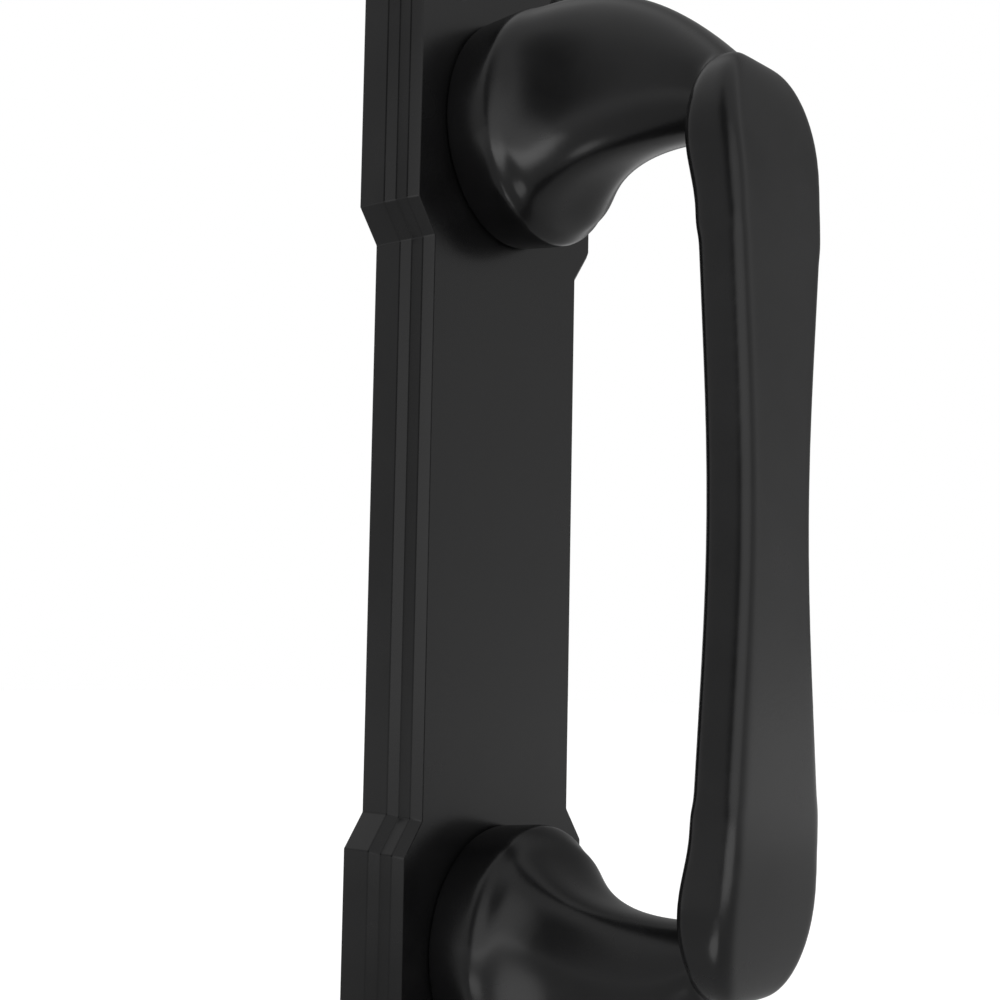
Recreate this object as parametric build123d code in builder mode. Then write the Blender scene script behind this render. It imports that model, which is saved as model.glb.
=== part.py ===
"""Barn door pull handle: a cast D-pull screwed from behind to a stepped backplate.

Millimetres. The origin is the centre of the plate's back face, +Z runs up the
plate, +X to the right as seen from the front, and the pull stands out along -Y.
"""
import os
from math import cos, exp, pi, sin, sqrt

from build123d import *

# Backplate: outline
plate_length = 200.0
pad_width = 51.0            # wide ends that carry the feet
waist_width = 43.0          # narrower middle
pad_length = 54.75          # each wide end, with its shoulder and corners
shoulder_rise = 5.4         # height of each angled shoulder and corner

# Backplate: edge, from the door outwards
base_wall = 5.2             # lower wall
step_bevel = 1.4            # sloped ledge between the two walls
upper_wall = 2.2            # upper wall
edge_bevel = 1.4            # bevel around the front face

# Door screws
screw_inset_x = 10.5        # from the side of the pad
screw_inset_z = 9.0         # from the end of the plate
screw_hole_diameter = 5.2
screw_head_diameter = 10.4

# Feet of the pull
foot_inset = 33.35          # from the end of the plate to the middle of a foot
foot_width = 36.0
foot_height = 39.3
foot_rise = 10.4            # from the plate's face to the rim
sole_inset = 0.8            # the foot draws in by this much towards the plate
rim_bevel = 1.5

# Horn arms
neck_width = 15.5
flare_squareness = 4.0      # half-way along the flare: 2 is an ellipse, higher is squarer
flare_length = 6.3          # distance over which the trumpet fades
flare_power = 0.9           # below 1, the trumpet opens flatter at the rim
underside_offset = 6.65     # arm's underside, below the middle of the foot
root_drop = 3.0             # the underside drops again where it meets the grip
root_length = 5.0           # distance over which it does
crown_sink = 0.1            # the top starts this far inside the foot's wall
crown_lift = 1.2            # and swells this far above it
crown_flat = 2.0            # the top stays level this far past the rim
crown_drop = 16.0           # fall of the top, from there to the grip's back
horn_sections = 10
section_points = 12

# Grip
grip_overrun = 2.95         # each end reaches this far past the middle of its foot
grip_back = 43.8            # plate's face to the back of the grip
grip_depth = 8.2
grip_width = 19.4           # at its middle
grip_swell = 3.8            # added on each side where the grip is fullest
fullest_inset = 8.0         # from the very end to the fullest place
grip_bevel = 1.6
front_height = 29.0         # height over which the front rounds off at each end
side_height = 13.8          # the same for the sides
heel_height = 11.8          # the same for the back
heel_bulge = 2.0            # the back swells this far towards the plate, at the horn
crest_setback = 6.1         # highest point of each end, behind the front
crest_flat = 1.6            # depth left at the very end
crest_share = 0.3           # width left there, as a share of the fullest
middle_sections = 8
end_sections = 8

# Fixing screws, from the back of the plate into the feet
thread_diameter = 6.0
thread_clearance = 0.4      # in the plate's hole
thread_fit = 0.1            # in the tapped hole
seat_clearance = 0.05       # under the head
fixing_length = 20.0
fixing_head_diameter = 12.0
fixing_head_recess = 0.3    # the head lies this far below the plate's back
tap_depth = 14.0
socket_width = 4.0
socket_depth = 2.2

plate_thickness = base_wall + step_bevel + upper_wall + edge_bevel
waist_length = plate_length - 2 * pad_length
shoulder_run = (pad_width - waist_width) / 2
screw_spacing_x = pad_width - 2 * screw_inset_x
screw_spacing_z = plate_length - 2 * screw_inset_z
foot_spacing = plate_length - 2 * foot_inset
foot_middle = foot_spacing / 2
crest_z = foot_middle + grip_overrun
shoulder_z = crest_z - front_height               # where the grip's ends begin

# Distances out from the back of the plate
rim_level = plate_thickness + foot_rise
back_level = plate_thickness + grip_back
front_level = back_level + grip_depth
core_level = (back_level + front_level) / 2


def layer(level):
    """A plane parallel to the plate, this far out from its back face."""
    return Plane.XZ.offset(level)


def plate_outline(level, inset=0.0):
    """The plate's outline at one level, drawn in by an inset."""
    pad_x, waist_x = pad_width / 2, waist_width / 2
    end_z, waist_z = plate_length / 2, waist_length / 2
    quarter = [
        (waist_x, waist_z),
        (pad_x, waist_z + shoulder_rise),
        (pad_x, end_z - shoulder_rise),
        (pad_x - shoulder_run, end_z),
    ]
    right = [(x, -z) for x, z in reversed(quarter)] + quarter
    left = [(-x, z) for x, z in reversed(right)]
    with BuildSketch(layer(level)) as outline:
        with BuildLine():
            Polyline(*right, *left, close=True)
        make_face()
        if inset:
            offset(amount=-inset, kind=Kind.INTERSECTION, mode=Mode.REPLACE)
    return outline.sketch


def oval(level, half_width, lowest, highest, squareness=2.0):
    """A smooth oval on a plane parallel to the plate, with a lower half that can be squarer."""
    half_height = (highest - lowest) / 2
    points = []
    for i in range(section_points):
        c, s = cos(2 * pi * i / section_points), sin(2 * pi * i / section_points)
        power = 2 / squareness if s < 0 else 1.0
        x = half_width * abs(c) ** power * (1 if c > 0 else -1)
        z = half_height * abs(s) ** power * (1 if s > 0 else -1)
        points.append((x, lowest + half_height + z))
    with BuildSketch(layer(level)) as section:
        with BuildLine():
            Spline(*points, periodic=True)
        make_face()
    return section.sketch


def foot_section(level, inset=0.0):
    """One section of the upper foot, drawn in by an inset."""
    half_height = foot_height / 2 - inset
    return oval(level, foot_width / 2 - inset, foot_middle - half_height, foot_middle + half_height)


def horn_section(level):
    """One section of the upper horn, on a plane parallel to the plate.

    The width and the underside fade from the rim to the neck like a trumpet, the
    top falls in a parabola, and half-way along the flare the lower half is squarest,
    which leaves a soft crest on each side of the underside.
    """
    flare = exp(-(max(0.0, level - rim_level) / flare_length) ** flare_power)
    rim_x, rim_z = foot_width / 2 - rim_bevel, foot_height / 2 - rim_bevel
    crown_start = rim_level + crown_flat
    fall = max(0.0, level - crown_start) / (back_level - crown_start)
    top = foot_middle + foot_height / 2 - crown_sink + crown_lift * (1 - flare)
    top -= crown_drop * fall ** 2
    underside = foot_middle - underside_offset - (rim_z - underside_offset) * flare
    underside -= root_drop * exp((level - back_level) / root_length)
    half_width = neck_width / 2 + (rim_x - neck_width / 2) * flare
    squareness = 2 + (flare_squareness - 2) * 4 * flare * (1 - flare)
    return oval(level, half_width, underside, top, squareness)


def grip_section(z):
    """One eight-sided section of the grip, bevelled front and back, at a height.

    The sides swell in a smooth wave from the waist to the fullest place. Towards
    the crest the front, the sides and the back each round over in a quarter of an
    ellipse, and the back first swells towards the plate to take the horn.
    """
    fullest_z, heel_z = crest_z - fullest_inset, crest_z - heel_height
    half_width = grip_width / 2 + grip_swell * ease(abs(z) / fullest_z)
    half_width *= crest_share + (1 - crest_share) * round_over(z, side_height)
    bulge = heel_bulge * ease((abs(z) - shoulder_z) / (heel_z - shoulder_z))

    crest_level = front_level - crest_setback
    front_reach, back_reach = crest_setback, grip_depth - crest_setback + bulge
    front = crest_level + reach_left(front_reach, round_over(z, front_height))
    back = crest_level - reach_left(back_reach, round_over(z, heel_height))
    bevel = grip_bevel * min(1.0, (front - back) / grip_depth)

    right_half = [
        (half_width - bevel, -front),
        (half_width, -front + bevel),
        (half_width, -back - bevel),
        (half_width - bevel, -back),
    ]
    left_half = [(-x, y) for x, y in reversed(right_half)]
    with BuildSketch(Plane.XY.offset(z)) as section:
        with BuildLine():
            Polyline(*right_half, *left_half, close=True)
        make_face()
    return section.sketch


def ease(share):
    """A smooth rise from 0 to 1."""
    return (1 - cos(pi * min(max(share, 0.0), 1.0))) / 2


def round_over(z, height):
    """Share of a size left at a height, where an end rounds off over this height."""
    share = max(0.0, abs(z) - crest_z + height) / height
    return sqrt(max(0.0, 1 - share ** 2))


def reach_left(reach, share):
    """How far a side of the grip stands from its crest, never less than the crest's flat."""
    return crest_flat / 2 + (reach - crest_flat / 2) * share


def outermost_edges(part):
    """The outline of a part's foremost flat face."""
    return part.faces().sort_by(Axis.Y)[0].outer_wire().edges()


# Backplate: two layers with sloped edges, and the holes
with BuildPart() as backplate:
    extrude(plate_outline(0), amount=base_wall + step_bevel)
    chamfer(outermost_edges(backplate), step_bevel)
    extrude(plate_outline(base_wall, step_bevel), amount=plate_thickness - base_wall)
    chamfer(outermost_edges(backplate), edge_bevel)
    with Locations(layer(plate_thickness)):
        with GridLocations(screw_spacing_x, screw_spacing_z, 2, 2):
            CounterSinkHole(
                screw_hole_diameter / 2, screw_head_diameter / 2, counter_sink_angle=90
            )
    with Locations(-Plane.XZ):
        with GridLocations(1, foot_spacing, 1, 2):
            CounterSinkHole(
                (thread_diameter + thread_clearance) / 2,
                fixing_head_diameter / 2 + fixing_head_recess + seat_clearance,
                counter_sink_angle=90,
            )

# Upper half of the pull: foot, horn and tapped hole
with BuildPart() as arm:
    loft([foot_section(plate_thickness, sole_inset), foot_section(rim_level - rim_bevel)])
    loft([foot_section(rim_level - rim_bevel), horn_section(rim_level)])
    reach = core_level - rim_level
    steps = [(i / (horn_sections - 1)) ** 1.2 for i in range(horn_sections)]
    loft([horn_section(rim_level + reach * step) for step in steps])
    with BuildSketch(layer(plate_thickness)):
        with Locations((0, foot_middle)):
            Circle((thread_diameter + thread_fit) / 2)
    extrude(amount=tap_depth, mode=Mode.SUBTRACT)

# Grip: a long waisted middle and two rounded ends, lofted from eight-sided sections
with BuildPart() as grip:
    steps = [2 * i / middle_sections - 1 for i in range(middle_sections + 1)]
    loft([grip_section(shoulder_z * step) for step in steps])
    turns = [sin(pi / 2 * i / end_sections) for i in range(end_sections + 1)]
    loft([grip_section(shoulder_z + front_height * turn) for turn in turns])
    loft([grip_section(-shoulder_z - front_height * turn) for turn in reversed(turns)])

# Pull: one casting
with BuildPart() as pull_handle:
    add(arm.part)
    mirror(about=Plane.XY)
    add(grip.part)

# Fixing screws
with BuildPart() as fixing_screws:
    head_radius, shank_radius = fixing_head_diameter / 2, thread_diameter / 2
    head_level = fixing_head_recess
    neck_level = head_level + head_radius - shank_radius
    tip_level = head_level + fixing_length
    with BuildSketch(Plane.YZ):
        with BuildLine():
            Polyline(
                (-head_level, foot_middle),
                (-head_level, foot_middle + head_radius),
                (-neck_level, foot_middle + shank_radius),
                (-tip_level, foot_middle + shank_radius),
                (-tip_level, foot_middle),
                close=True,
            )
        make_face()
    revolve(axis=Axis((0, 0, foot_middle), (0, 1, 0)))
    with BuildSketch(layer(head_level)):
        with Locations((0, foot_middle)):
            RegularPolygon(socket_width / 2, 6, major_radius=False)
    extrude(amount=socket_depth, mode=Mode.SUBTRACT)
    mirror(about=Plane.XY)

os.makedirs("parts", exist_ok=True)

backplate.part.label = "backplate"
export_step(backplate.part, "parts/backplate.step")

pull_handle.part.label = "pull_handle"
export_step(pull_handle.part, "parts/pull_handle.step")

fixing_screws.part.label = "fixing_screws"
export_step(fixing_screws.part, "parts/fixing_screws.step")
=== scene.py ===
# %% [markdown]
# # A barn door pull handle
# The object is a black cast pull on a thick stepped plate. The pull is one casting: two
# oval feet, two horn-shaped arms and an upright grip with bevelled edges. Two screws from
# behind hold it to the plate. This lesson takes the exact solids as a fixed frame, makes
# the cast pieces softer at their edges, and gives every surface its finish.

# %% Load the solids
import math

import bpy
from mathutils import Matrix, Vector


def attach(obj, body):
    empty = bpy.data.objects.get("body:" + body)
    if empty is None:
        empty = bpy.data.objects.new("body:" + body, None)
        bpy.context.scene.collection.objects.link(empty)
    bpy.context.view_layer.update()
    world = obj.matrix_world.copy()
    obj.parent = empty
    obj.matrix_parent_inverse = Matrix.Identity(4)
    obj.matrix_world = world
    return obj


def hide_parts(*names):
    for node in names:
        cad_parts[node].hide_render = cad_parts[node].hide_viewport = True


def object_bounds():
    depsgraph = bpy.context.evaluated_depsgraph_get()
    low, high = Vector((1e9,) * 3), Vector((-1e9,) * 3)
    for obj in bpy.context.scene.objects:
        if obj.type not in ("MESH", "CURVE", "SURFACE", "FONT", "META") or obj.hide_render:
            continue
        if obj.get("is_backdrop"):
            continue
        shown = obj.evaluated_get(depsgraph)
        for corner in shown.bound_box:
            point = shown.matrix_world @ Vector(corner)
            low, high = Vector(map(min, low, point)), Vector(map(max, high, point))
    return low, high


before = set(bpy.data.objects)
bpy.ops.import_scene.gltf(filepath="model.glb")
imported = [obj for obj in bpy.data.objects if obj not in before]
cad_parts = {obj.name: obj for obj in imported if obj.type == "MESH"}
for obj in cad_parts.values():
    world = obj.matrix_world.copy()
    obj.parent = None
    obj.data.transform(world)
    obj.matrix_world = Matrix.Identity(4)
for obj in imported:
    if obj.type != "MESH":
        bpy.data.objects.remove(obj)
cad_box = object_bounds()
for name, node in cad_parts.items():
    print(name, len(node.data.polygons), "triangles")

# %% [markdown]
# ## Copies to work on
# Operators act on whatever is selected, and the loaded solids start out selected. A small
# helper clears the selection and picks one object, as a click would. A second one makes a
# copy of a solid to work on: its triangles come loose from the file, so the copy is merged
# into one closed skin and loses the shading that was stored with it. The two castings are
# copied in this way. The screws keep their exact solid.

# %% Copy the two castings
same_point = 1e-6


def pick(piece):
    """Make this piece the only selected and active object."""
    for other in bpy.context.selected_objects:
        other.select_set(False)
    piece.select_set(True)
    bpy.context.view_layer.objects.active = piece


def merged_copy(node_name, piece_name):
    """A closed copy of a solid's mesh, as an object of its own."""
    piece = bpy.data.objects.new(piece_name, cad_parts[node_name].data.copy())
    bpy.context.scene.collection.objects.link(piece)
    piece.data.materials.clear()
    pick(piece)
    bpy.ops.mesh.customdata_custom_splitnormals_clear()
    bpy.ops.object.mode_set(mode="EDIT")
    bpy.ops.mesh.select_all(action="SELECT")
    bpy.ops.mesh.remove_doubles(threshold=same_point)
    bpy.ops.object.mode_set(mode="OBJECT")
    return piece


backplate = merged_copy("backplate", "backplate_cast")
pull = merged_copy("pull_handle", "pull_cast")
for piece in (backplate, pull):
    print(piece.name, "merged to", len(piece.data.vertices), "points")

# %% [markdown]
# ## The backplate's edges
# The plate is cast and coated, so none of its edges is truly sharp: each has a small
# rounding that catches the light as a thin line. The flat faces are first cleared of the
# edges that only divide them, then the remaining sharp edges are selected by their angle
# and bevelled. Modelling the plate again would also do, but the solid already has the
# right walls, ledge and countersinks, and a bevel is all that it lacks.

# %% Round the plate's edges
edge_radius = 0.00035
rounding_steps = 3
flat_angle, sharp_angle, smooth_angle = math.radians(0.5), math.radians(25), math.radians(30)


def apply_modifier(piece, name, kind, **settings):
    """Give the picked piece a modifier with these settings, and apply it at once."""
    modifier = piece.modifiers.new(name, kind)
    for setting, value in settings.items():
        setattr(modifier, setting, value)
    bpy.ops.object.modifier_apply(modifier=modifier.name)


pick(backplate)
bpy.ops.object.mode_set(mode="EDIT")
bpy.ops.mesh.select_all(action="SELECT")
bpy.ops.mesh.dissolve_limited(angle_limit=flat_angle)
bpy.ops.mesh.select_all(action="DESELECT")
bpy.ops.mesh.edges_select_sharp(sharpness=sharp_angle)
bpy.ops.mesh.bevel(
    offset=edge_radius, segments=rounding_steps, affect="EDGES", clamp_overlap=True
)
bpy.ops.object.mode_set(mode="OBJECT")
bpy.ops.object.shade_smooth_by_angle(angle=smooth_angle)
apply_modifier(backplate, "flat_faces", "WEIGHTED_NORMAL", keep_sharp=True, weight=100)
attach(backplate, "root")
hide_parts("backplate")
print("backplate_cast", len(backplate.data.polygons), "faces")

# %% [markdown]
# ## The pull as a casting
# On the real pull, metal flows from the foot through the horn into the grip, with no
# knife-sharp line anywhere. A bevel would need even faces along each edge, and the solid's
# triangles are uneven there. A voxel remesh rebuilds the whole skin in small even squares
# instead, and smoothing passes then round every edge by about the same radius. The squares
# have to be much smaller than that radius, or the edges come out wavy, so the skin is
# thinned again once it is smooth.

# %% Remesh and smooth the pull
square_size = 0.00027
smoothing_passes = 90
share_kept = 0.2
pick(pull)
pull.data.remesh_voxel_size = square_size
bpy.ops.object.voxel_remesh()
print("remeshed to", len(pull.data.polygons), "squares")
apply_modifier(pull, "cast_edges", "SMOOTH", factor=0.5, iterations=smoothing_passes)
apply_modifier(pull, "thinner_skin", "DECIMATE", ratio=share_kept)
bpy.ops.object.shade_smooth()
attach(pull, "root")
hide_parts("pull_handle")
print("pull_cast", len(pull.data.polygons), "triangles")

# %% [markdown]
# ## Satin black coat
# The coat is a thin black film with a satin surface: almost no colour of its own, and a
# soft reflection of the room. An even colour and an even shine would look like plain
# plastic, so a cloudy noise lets both drift a little over the surface. It follows Object
# coordinates, so the clouds have the same size on the plate and the pull.

# %% Give the coat its colour and shine
coat_black = (0.0045, 0.0045, 0.0047, 1), (0.0075, 0.0075, 0.0078, 1)
coat_roughness = 0.21, 0.28
cloud_size = 0.012


def new_material(name):
    """A material that uses nodes, its node tree and its surface shader."""
    material = bpy.data.materials.new(name)
    material.use_nodes = True
    return material, material.node_tree, material.node_tree.nodes["Principled BSDF"]


def grain(tree, size, detail):
    """A noise whose patches are about this many metres across."""
    place = tree.nodes.new("ShaderNodeTexCoord")
    noise = tree.nodes.new("ShaderNodeTexNoise")
    noise.inputs["Scale"].default_value = 1 / size
    noise.inputs["Detail"].default_value = detail
    tree.links.new(place.outputs["Object"], noise.inputs["Vector"])
    return noise.outputs["Fac"]


def rescale(tree, value, start, end, low, high):
    """Turn a value that runs from start to end into one that runs from low to high."""
    ramp = tree.nodes.new("ShaderNodeMapRange")
    ramp.inputs["From Min"].default_value = start
    ramp.inputs["From Max"].default_value = end
    ramp.inputs["To Min"].default_value = low
    ramp.inputs["To Max"].default_value = high
    tree.links.new(value, ramp.inputs["Value"])
    return ramp.outputs["Result"]


def spread(tree, noise, low, high):
    """Turn a noise, which mostly lies between 0.3 and 0.7, into values from low to high."""
    return rescale(tree, noise, 0.3, 0.7, low, high)


def drift(tree, noise, dark, light):
    """A colour that drifts from dark to light with a noise."""
    tint = tree.nodes.new("ShaderNodeMix")
    tint.data_type = "RGBA"
    tint.inputs["A"].default_value = dark
    tint.inputs["B"].default_value = light
    tree.links.new(spread(tree, noise, 0.0, 1.0), tint.inputs["Factor"])
    return tint.outputs["Result"]


coat, coat_tree, coat_shader = new_material("satin_black_coat")
coat_shader.inputs["Specular IOR Level"].default_value = 0.24
clouds = grain(coat_tree, cloud_size, detail=4)
coat_tree.links.new(drift(coat_tree, clouds, *coat_black), coat_shader.inputs["Base Color"])
coat_tree.links.new(
    spread(coat_tree, clouds, *coat_roughness), coat_shader.inputs["Roughness"]
)
print("coat roughness from", coat_roughness[0], "to", coat_roughness[1])

# %% [markdown]
# ## Orange peel
# A sprayed or powder coat never dries quite flat. Its fine orange peel is far too small to
# model, and at this distance it only breaks the reflections up a little, so a bump with a
# much finer noise is enough. The finished coat then goes on both castings.

# %% Add the peel and coat the castings
peel_size = 0.0006
peel_depth = 0.00005
bump = coat_tree.nodes.new("ShaderNodeBump")
bump.inputs["Strength"].default_value = 0.10
bump.inputs["Distance"].default_value = peel_depth
coat_tree.links.new(grain(coat_tree, peel_size, detail=2), bump.inputs["Height"])
coat_tree.links.new(bump.outputs["Normal"], coat_shader.inputs["Normal"])
for piece in (backplate, pull):
    piece.data.materials.append(coat)
print("coat on", backplate.name, "and", pull.name)

# %% [markdown]
# ## Dark steel screws
# The two screws sit in the back of the plate and are plain dark steel, turned on a lathe.
# They keep the exact solid, since nothing about their shape needs changing, and only get a
# metal finish with a slightly uneven colour and roughness.

# %% Build the screw steel
steel_grey = (0.10, 0.10, 0.104, 1), (0.17, 0.17, 0.176, 1)
steel_roughness = 0.34, 0.46
oxide_size = 0.003
steel, steel_tree, steel_shader = new_material("dark_screw_steel")
steel_shader.inputs["Metallic"].default_value = 1.0
oxide = grain(steel_tree, oxide_size, detail=5)
steel_tree.links.new(drift(steel_tree, oxide, *steel_grey), steel_shader.inputs["Base Color"])
steel_tree.links.new(
    spread(steel_tree, oxide, *steel_roughness), steel_shader.inputs["Roughness"]
)
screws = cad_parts["fixing_screws"]
screws.data.materials.clear()
screws.data.materials.append(steel)
print("steel on", screws.name)

# %% [markdown]
# ## What the coat mirrors
# The pull is shown in a bright white room, which a black satin surface mirrors as a soft
# grey. The room is the world. Reflections see it white, apart from three dark patches, as a
# real studio has a ceiling and things that stand about. A wide one on the right keeps the
# grip's front no brighter than the plate. One on the left shows as a dark spot in the
# hollow of each horn. A faint one behind on the left makes the plate's walls darker than
# its bevels. Each patch is a direction: the nearer a ray is to it, the darker it gets.

# %% Make the world and its dark patches
world = bpy.data.worlds.new("white_room")
bpy.context.scene.world = world
world.use_nodes = True
room_tree = world.node_tree
room = room_tree.nodes["Background"]
room.inputs["Color"].default_value = (1, 1, 1, 1)
ray = room_tree.nodes.new("ShaderNodeTexCoord").outputs["Generated"]


def dark_patch(centre, edge, core, darkest):
    """A strength that falls from 1 to darkest between two nearnesses to a direction."""
    nearness = room_tree.nodes.new("ShaderNodeVectorMath")
    nearness.operation = "DOT_PRODUCT"
    nearness.inputs[1].default_value = Vector(centre).normalized()
    room_tree.links.new(ray, nearness.inputs[0])
    return rescale(room_tree, nearness.outputs["Value"], edge, core, 1.0, darkest)


def join(tree, operation, first, second):
    """Two values put together by a Math node."""
    both = tree.nodes.new("ShaderNodeMath")
    both.operation = operation
    tree.links.new(first, both.inputs[0])
    tree.links.new(second, both.inputs[1])
    return both.outputs["Value"]


patches = [
    dark_patch((0.90, 0.20, 0.40), edge=0.59, core=0.82, darkest=0.3),
    dark_patch((-0.88, -0.22, 0.42), edge=0.80, core=0.97, darkest=0.15),
    dark_patch((-0.73, 0.68, 0.10), edge=0.75, core=0.95, darkest=0.72),
]
mirrored_room = patches[0]
for patch in patches[1:]:
    mirrored_room = join(room_tree, "MULTIPLY", mirrored_room, patch)
print(world.name, "with", len(patches), "dark patches")

# %% [markdown]
# ## How bright the room is
# A camera that looks past the object sees plain white. As a source of light the room is a
# little dimmer, so that the coat stays black. Light Path tells the kinds of ray apart, and
# a Mix node chooses the strength for each.

# %% Set the room's strength
room_light = 0.7
plain_white = 1.0


def looked_at(tree):
    """1 where a camera looks, straight or through something clear, otherwise 0."""
    path = tree.nodes.new("ShaderNodeLightPath")
    return join(
        tree, "MAXIMUM", path.outputs["Is Camera Ray"], path.outputs["Is Transmission Ray"]
    )


def reflected(tree):
    """1 where a shiny surface mirrors this, otherwise 0."""
    return tree.nodes.new("ShaderNodeLightPath").outputs["Is Glossy Ray"]


room_ray = room_tree.nodes.new("ShaderNodeMix")
room_ray.inputs["A"].default_value = room_light
room_tree.links.new(mirrored_room, room_ray.inputs["B"])
room_tree.links.new(reflected(room_tree), room_ray.inputs["Factor"])
strength = room_tree.nodes.new("ShaderNodeMix")
strength.inputs["B"].default_value = plain_white
room_tree.links.new(room_ray.outputs["Result"], strength.inputs["A"])
room_tree.links.new(looked_at(room_tree), strength.inputs["Factor"])
room_tree.links.new(strength.outputs["Result"], room.inputs["Strength"])
print("room strength", room_light, "for light,", plain_white, "to look at")

# %% [markdown]
# ## Pale floor
# The floor is a pale plane just under the plate's lower end. It glows partly by itself where
# a camera looks at it, so it reads as white and still takes the object's shadow. Reflections
# see that glow only at a distance, as on a studio sweep, which is brightest where it climbs
# behind the object: it lights the lower rims and leaves the undersides dark.

# %% Make the floor
floor_gap = 0.0002
floor_glow = 0.5
glow_starts, glow_full = 0.3, 0.7
floor_level = cad_box[0][2] - floor_gap
bpy.ops.object.select_all(action="DESELECT")
bpy.ops.mesh.primitive_plane_add(size=6, location=(0, 0, floor_level))
floor = bpy.context.active_object
floor.name = "pale_floor"
bpy.ops.object.transform_apply(location=True)
paint, paint_tree, paint_shader = new_material("floor_paint")
paint_shader.inputs["Base Color"].default_value = (0.85, 0.85, 0.85, 1)
paint_shader.inputs["Roughness"].default_value = 0.9
paint_shader.inputs["Emission Color"].default_value = (1, 1, 1, 1)
place = paint_tree.nodes.new("ShaderNodeTexCoord")
away = paint_tree.nodes.new("ShaderNodeVectorMath")
away.operation = "LENGTH"
paint_tree.links.new(place.outputs["Object"], away.inputs[0])
sweep = rescale(paint_tree, away.outputs["Value"], glow_starts, glow_full, 0.0, floor_glow)
glow = paint_tree.nodes.new("ShaderNodeMix")
glow.inputs["B"].default_value = floor_glow
paint_tree.links.new(
    join(paint_tree, "MULTIPLY", reflected(paint_tree), sweep), glow.inputs["A"]
)
paint_tree.links.new(looked_at(paint_tree), glow.inputs["Factor"])
paint_tree.links.new(glow.outputs["Result"], paint_shader.inputs["Emission Strength"])
floor.data.materials.append(paint)
floor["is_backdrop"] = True
print("floor at", round(floor_level * 1000, 2), "mm")

# %% [markdown]
# ## Soft box and cards
# The bevels and hollows that face the camera are the brightest places, so the main lamp
# stands behind the camera. The cloth of a soft box is brightest in its middle. Two round
# lamps of different sizes at one spot fade outwards in the same way, where a single one
# would show a hard edge in the hollows. Two white cards lie on the table: a large one in
# front throws light up into the upper horn, and a small one close by does the same for the
# lower horn. The cards light the pull alone, as if something kept their light off the
# plate, whose edges would glare.

# %% Place the soft box and the cards
card_height = 0.0005
middle = Vector((0, 0, 0))
box_spot = Vector((-0.28, -0.43, 0.03))


def soft_lamp(name, spot, aim, size, radiance):
    """A round area lamp at a spot, turned to its aim, as bright as this when looked at."""
    lamp = bpy.data.lights.new(name, "AREA")
    lamp.shape = "DISK"
    lamp.size = size
    lamp.energy = radiance * math.pi * math.pi * size * size / 4
    holder = bpy.data.objects.new(name, lamp)
    holder.location = spot
    holder.rotation_euler = (aim - spot).to_track_quat("-Z", "Y").to_euler()
    holder.visible_camera = False
    bpy.context.scene.collection.objects.link(holder)
    return holder


def table_card(name, x, y, size, radiance):
    """A lamp that lies on the floor and shines up, as a white card does in the light."""
    spot = Vector((x, y, floor_level + card_height))
    return soft_lamp(name, spot, spot + Vector((0, 0, 1)), size, radiance)


boxes = [
    soft_lamp("soft_box_inner", box_spot, middle, size=0.32, radiance=1.0),
    soft_lamp("soft_box_outer", box_spot, middle, size=0.52, radiance=0.6),
]
cards = [
    table_card("near_card", x=-0.080, y=-0.065, size=0.07, radiance=2.4),
    table_card("far_card", x=-0.34, y=-0.42, size=0.44, radiance=3.5),
]
lit = bpy.data.collections.new("lit_by_cards")
lit.objects.link(pull)
for card in cards:
    card.light_linking.receiver_collection = lit
for lamp in boxes + cards:
    print(lamp.name, round(lamp.data.energy, 3), "W")

# %% [markdown]
# ## Camera
# The picture looks at the handle from its left and from a little below its middle, close
# enough for the perspective to show: the near side of the plate is clearly larger than the
# far side. The direction, distance and lens below were found by fitting the solids' outline
# to the picture's. The small shift slides the frame so that both ends are cut off evenly.

# %% Set up the camera
turn, tilt, lean = math.radians(-49.69), math.radians(-4.44), math.radians(1.19)
distance = 0.284
focal_pixels, picture_pixels = 1680, 1000
ahead = Vector((
    -math.sin(turn) * math.cos(tilt),
    math.cos(turn) * math.cos(tilt),
    -math.sin(tilt),
))
right = Vector((math.cos(turn), math.sin(turn), 0))
up = right.cross(ahead)
side = right * math.cos(lean) + up * math.sin(lean)
top = up * math.cos(lean) - right * math.sin(lean)
lens = bpy.data.cameras.new("camera")
lens.sensor_width = 36
lens.lens = focal_pixels / picture_pixels * lens.sensor_width
lens.shift_x, lens.shift_y = 0.0438, 0.0348
lens.clip_start = 0.01
camera = bpy.data.objects.new("camera", lens)
axes = Matrix((side, top, -ahead)).transposed().to_4x4()
camera.matrix_world = Matrix.Translation(-ahead * distance) @ axes
bpy.context.scene.collection.objects.link(camera)
bpy.context.scene.camera = camera
bpy.context.scene.view_settings.view_transform = "Standard"
spot_mm = [round(v * 1000, 1) for v in camera.location]
print("camera at", spot_mm, "mm, lens", round(lens.lens, 2), "mm")

# %% [markdown]
# ## Measure and finish
# The dressed pieces should stay inside the solids' box, so the sizes of both boxes are
# printed.

# %% Print both boxes
seen_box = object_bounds()
sizes = {"cad": [list(c) for c in cad_box], "visual": [list(c) for c in seen_box]}
for label, (low, high) in sizes.items():
    print(label, [round((b - a) * 1000, 2) for a, b in zip(low, high)], "mm")
